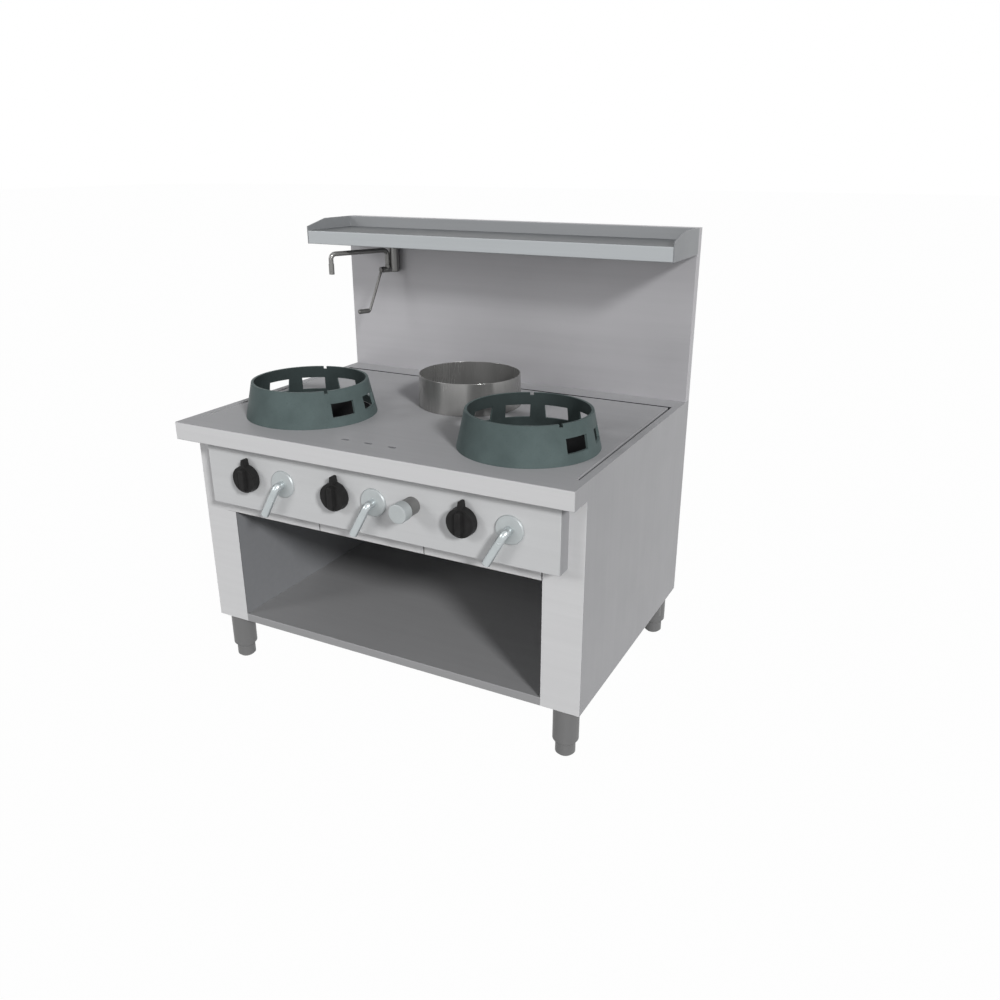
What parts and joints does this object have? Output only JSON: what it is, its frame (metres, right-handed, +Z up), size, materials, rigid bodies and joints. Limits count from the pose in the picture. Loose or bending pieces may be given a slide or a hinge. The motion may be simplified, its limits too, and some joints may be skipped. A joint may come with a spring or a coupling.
{
  "type": "wok range",
  "caption": "Free-standing gas wok range with cast rings, pot burner, lever valves, drip trays, open cabinet, backsplash shelf and swivel faucet.",
  "frame": {"origin": "on the floor, at the centre of the range's outer box", "axes": "+X to the cook's right, +Y to the rear, +Z up; the controls face -Y"},
  "size_m": [1.2, 0.925, 1.282],
  "materials": {
    "body_steel": "satin stainless sheet",
    "deck_steel": "satin stainless sheet",
    "polished_steel": "polished stainless",
    "chrome": "polished chrome plate",
    "black_plastic": "matte moulded",
    "brass": "raw machined",
    "cast_iron": "as cast",
    "green_enamel": "dark green enamel on cast iron",
    "pipe_steel": "drawn tube and bar",
    "foot_steel": "turned stainless"
  },
  "bodies": {
    "range": {"backsplash": "body_steel", "bolts": "pipe_steel", "burner_centre": "cast_iron", "burner_heads": "cast_iron", "burner_left": "cast_iron", "burner_rails": "body_steel", "burner_right": "cast_iron", "burner_well_centre": "polished_steel", "burner_well_left": "polished_steel", "burner_well_right": "polished_steel", "cabinet_floor": "body_steel", "control_panel": "body_steel", "faucet_body": "chrome", "gas_manifold": "pipe_steel", "gas_tap_centre": "brass", "gas_tap_left": "brass", "gas_tap_right": "brass", "gutter_drain": "body_steel", "inner_wall_left": "body_steel", "inner_wall_right": "body_steel", "leg_tubes": "body_steel", "lever_rosettes": "chrome", "lever_valve_centre": "brass", "lever_valve_left": "brass", "lever_valve_right": "brass", "pilot_burners": "pipe_steel", "rear_panel": "body_steel", "rinse_box": "body_steel", "shelf": "deck_steel", "shelf_gussets": "body_steel", "side_panel_left": "body_steel", "side_panel_right": "body_steel", "tray_runners": "body_steel", "water_pipe": "pipe_steel", "water_valve": "chrome", "worktop": "deck_steel"},
    "spindle_left": {"tap_spindle_left": "brass"},
    "knob_left": {"knob_left": "black_plastic"},
    "lever_left": {"gas_lever_left": "chrome"},
    "tray_left": {"drip_tray_left": "body_steel"},
    "spindle_centre": {"tap_spindle_centre": "brass"},
    "knob_centre": {"knob_centre": "black_plastic"},
    "lever_centre": {"gas_lever_centre": "chrome"},
    "tray_centre": {"drip_tray_centre": "body_steel"},
    "spindle_right": {"tap_spindle_right": "brass"},
    "knob_right": {"knob_right": "black_plastic"},
    "lever_right": {"gas_lever_right": "chrome"},
    "tray_right": {"drip_tray_right": "body_steel"},
    "deck_tap": {"tap_head": "chrome"},
    "spout": {"faucet_spout": "chrome"},
    "faucet_crank": {"faucet_lever": "chrome"},
    "wok_ring_left": {"wok_ring_left": "green_enamel"},
    "wok_ring_right": {"wok_ring_right": "green_enamel"},
    "pot_ring": {"pot_ring": "polished_steel"},
    "foot_front_left": {"foot_front_left": "foot_steel"},
    "foot_front_right": {"foot_front_right": "foot_steel"},
    "foot_rear_left": {"foot_rear_left": "foot_steel"},
    "foot_rear_right": {"foot_rear_right": "foot_steel"}
  },
  "joints": [
    {"name": "knob_left_turn", "type": "hinge", "parent": "range", "child": "spindle_left", "pos_m": [-0.374, -0.3925, 0.647], "axis": [0, -1, 0], "range_deg": [0, 180]},
    {"name": "knob_left_push", "type": "slide", "parent": "spindle_left", "child": "knob_left", "axis": [0, 1, 0], "range_m": [0, 0.004], "stiffness_N_per_m": 1500, "springref_m": -0.003},
    {"name": "lever_left_turn", "type": "hinge", "parent": "range", "child": "lever_left", "pos_m": [-0.258, -0.3925, 0.646], "axis": [0, -1, 0], "range_deg": [0, 90]},
    {"name": "tray_left_slide", "type": "slide", "parent": "range", "child": "tray_left", "axis": [0, -1, 0], "range_m": [0, 0.5]},
    {"name": "knob_centre_turn", "type": "hinge", "parent": "range", "child": "spindle_centre", "pos_m": [-0.077, -0.3925, 0.647], "axis": [0, -1, 0], "range_deg": [0, 180]},
    {"name": "knob_centre_push", "type": "slide", "parent": "spindle_centre", "child": "knob_centre", "axis": [0, 1, 0], "range_m": [0, 0.004], "stiffness_N_per_m": 1500, "springref_m": -0.003},
    {"name": "lever_centre_turn", "type": "hinge", "parent": "range", "child": "lever_centre", "pos_m": [0.036, -0.3925, 0.646], "axis": [0, -1, 0], "range_deg": [0, 90]},
    {"name": "tray_centre_slide", "type": "slide", "parent": "range", "child": "tray_centre", "axis": [0, -1, 0], "range_m": [0, 0.5]},
    {"name": "knob_right_turn", "type": "hinge", "parent": "range", "child": "spindle_right", "pos_m": [0.302, -0.3925, 0.647], "axis": [0, -1, 0], "range_deg": [0, 180]},
    {"name": "knob_right_push", "type": "slide", "parent": "spindle_right", "child": "knob_right", "axis": [0, 1, 0], "range_m": [0, 0.004], "stiffness_N_per_m": 1500, "springref_m": -0.003},
    {"name": "lever_right_turn", "type": "hinge", "parent": "range", "child": "lever_right", "pos_m": [0.425, -0.3925, 0.646], "axis": [0, -1, 0], "range_deg": [0, 90]},
    {"name": "tray_right_slide", "type": "slide", "parent": "range", "child": "tray_right", "axis": [0, -1, 0], "range_m": [0, 0.5]},
    {"name": "deck_tap_turn", "type": "hinge", "parent": "range", "child": "deck_tap", "pos_m": [0.153, -0.3925, 0.659], "axis": [0, -1, 0], "range_deg": [0, 180]},
    {"name": "spout_swing", "type": "hinge", "parent": "range", "child": "spout", "pos_m": [-0.42153, 0.38831, 1.182], "axis": [0, 0, 1], "range_deg": [-58, 101]},
    {"name": "faucet_crank_turn", "type": "hinge", "parent": "range", "child": "faucet_crank", "pos_m": [-0.42923, 0.36877, 1.12], "axis": [-0.3665, -0.9304, 0], "range_deg": [0, 90]},
    {"name": "wok_ring_left_lift", "type": "slide", "parent": "range", "child": "wok_ring_left", "axis": [0, 0, 1], "range_m": [0, 0.2]},
    {"name": "wok_ring_right_lift", "type": "slide", "parent": "range", "child": "wok_ring_right", "axis": [0, 0, 1], "range_m": [0, 0.2]},
    {"name": "pot_ring_lift", "type": "slide", "parent": "range", "child": "pot_ring", "axis": [0, 0, 1], "range_m": [0, 0.2]},
    {"name": "foot_front_left_level", "type": "slide", "parent": "range", "child": "foot_front_left", "axis": [0, 0, -1], "range_m": [0, 0.035]},
    {"name": "foot_front_right_level", "type": "slide", "parent": "range", "child": "foot_front_right", "axis": [0, 0, -1], "range_m": [0, 0.035]},
    {"name": "foot_rear_left_level", "type": "slide", "parent": "range", "child": "foot_rear_left", "axis": [0, 0, -1], "range_m": [0, 0.035]},
    {"name": "foot_rear_right_level", "type": "slide", "parent": "range", "child": "foot_rear_right", "axis": [0, 0, -1], "range_m": [0, 0.035]}
  ]
}
